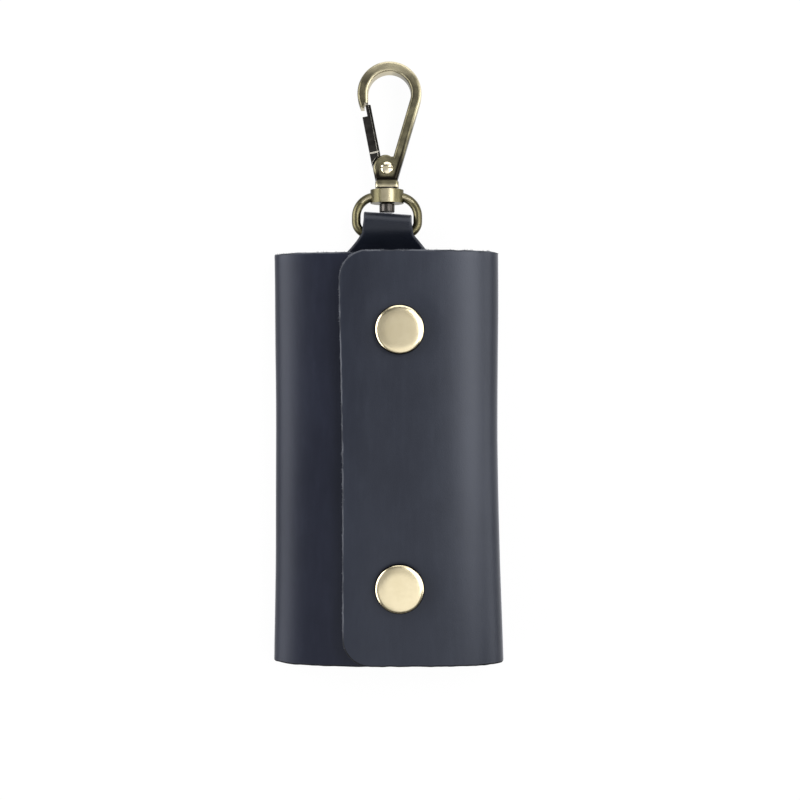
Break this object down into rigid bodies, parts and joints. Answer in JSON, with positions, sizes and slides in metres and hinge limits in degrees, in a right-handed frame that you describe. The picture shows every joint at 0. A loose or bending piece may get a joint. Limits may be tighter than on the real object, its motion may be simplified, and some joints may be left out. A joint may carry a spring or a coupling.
{
  "type": "key case",
  "caption": "Folded leather key case with a snap-closed front flap, a key rail inside, and a swivel snap hook on a leather loop.",
  "frame": {"origin": "on the back panel's outer face, which the case lies on, at the middle of the case's width and height", "axes": "+X to the right seen from the front, +Y towards the snap hook, +Z out of the front, towards the snap caps"},
  "size_m": [0.0584, 0.155, 0.0212],
  "materials": {
    "leather": "smooth waxed blue-black leather, satin",
    "cap_brass": "polished pale brass",
    "antique_brass": "dark antique brass plating",
    "screw_brass": "bright brass",
    "gunmetal": "dark gunmetal plating",
    "snap_brass": "dull antique brass plating",
    "nickel": "nickel plating",
    "spring_steel": "spring steel"
  },
  "bodies": {
    "case_back": {"wrap_back": "leather", "loop_strap": "leather", "key_rail": "nickel", "rail_rod": "nickel", "rail_rivet_left": "nickel", "rail_rivet_right": "nickel"},
    "outer_flap": {"wrap_outer_flap": "leather", "upper_snap_cap": "cap_brass", "upper_snap_socket": "snap_brass", "lower_snap_cap": "cap_brass", "lower_snap_socket": "snap_brass"},
    "inner_flap": {"wrap_inner_flap": "leather", "upper_snap_stud": "snap_brass", "upper_snap_post": "snap_brass", "lower_snap_stud": "snap_brass", "lower_snap_post": "snap_brass"},
    "ring": {"swivel_ring": "antique_brass"},
    "hook": {"hook_body": "antique_brass", "swivel_pin": "gunmetal", "gate_screw": "screw_brass", "gate_spring": "spring_steel"},
    "gate": {"gate": "gunmetal"},
    "key_hook_1": {"key_hook_1": "nickel"},
    "key_hook_2": {"key_hook_2": "nickel"},
    "key_hook_3": {"key_hook_3": "nickel"},
    "key_hook_4": {"key_hook_4": "nickel"},
    "key_hook_5": {"key_hook_5": "nickel"},
    "key_hook_6": {"key_hook_6": "nickel"}
  },
  "joints": [
    {"name": "outer_flap_open", "type": "hinge", "parent": "case_back", "child": "outer_flap", "pos_m": [0.0292, 0, 0.0095], "axis": [0, 1, 0], "range_deg": [0, 172]},
    {"name": "inner_flap_open", "type": "hinge", "parent": "case_back", "child": "inner_flap", "pos_m": [-0.0292, 0, 0.00735], "axis": [0, -1, 0], "range_deg": [0, 76]},
    {"name": "ring_swing", "type": "hinge", "parent": "case_back", "child": "ring", "pos_m": [-0.0002, 0.05805, 0.005], "axis": [1, 0, 0], "range_deg": [-4, 90]},
    {"name": "hook_swivel", "type": "hinge", "parent": "ring", "child": "hook", "pos_m": [-0.0002, 0.066, 0.005], "axis": [0, 1, 0], "continuous": true},
    {"name": "gate_open", "type": "hinge", "parent": "hook", "child": "gate", "pos_m": [-0.0002, 0.0749, 0.005], "axis": [0, 0, -1], "range_deg": [0, 30], "stiffness_Nm_per_rad": 0.005, "springref_deg": -22.92, "deforming": ["gate_spring"]},
    {"name": "key_hook_1_swing", "type": "hinge", "parent": "case_back", "child": "key_hook_1", "pos_m": [-0.016, 0.03985, 0.0066], "axis": [-1, 0, 0], "range_deg": [0, 20]},
    {"name": "key_hook_2_swing", "type": "hinge", "parent": "case_back", "child": "key_hook_2", "pos_m": [-0.0096, 0.03985, 0.0066], "axis": [-1, 0, 0], "range_deg": [0, 20]},
    {"name": "key_hook_3_swing", "type": "hinge", "parent": "case_back", "child": "key_hook_3", "pos_m": [-0.0032, 0.03985, 0.0066], "axis": [-1, 0, 0], "range_deg": [0, 20]},
    {"name": "key_hook_4_swing", "type": "hinge", "parent": "case_back", "child": "key_hook_4", "pos_m": [0.0032, 0.03985, 0.0066], "axis": [-1, 0, 0], "range_deg": [0, 20]},
    {"name": "key_hook_5_swing", "type": "hinge", "parent": "case_back", "child": "key_hook_5", "pos_m": [0.0096, 0.03985, 0.0066], "axis": [-1, 0, 0], "range_deg": [0, 20]},
    {"name": "key_hook_6_swing", "type": "hinge", "parent": "case_back", "child": "key_hook_6", "pos_m": [0.016, 0.03985, 0.0066], "axis": [-1, 0, 0], "range_deg": [0, 20]}
  ],
  "couplings": [
    {"joint": "inner_flap_open", "follows": "outer_flap_open", "ratio": 0.44186}
  ]
}
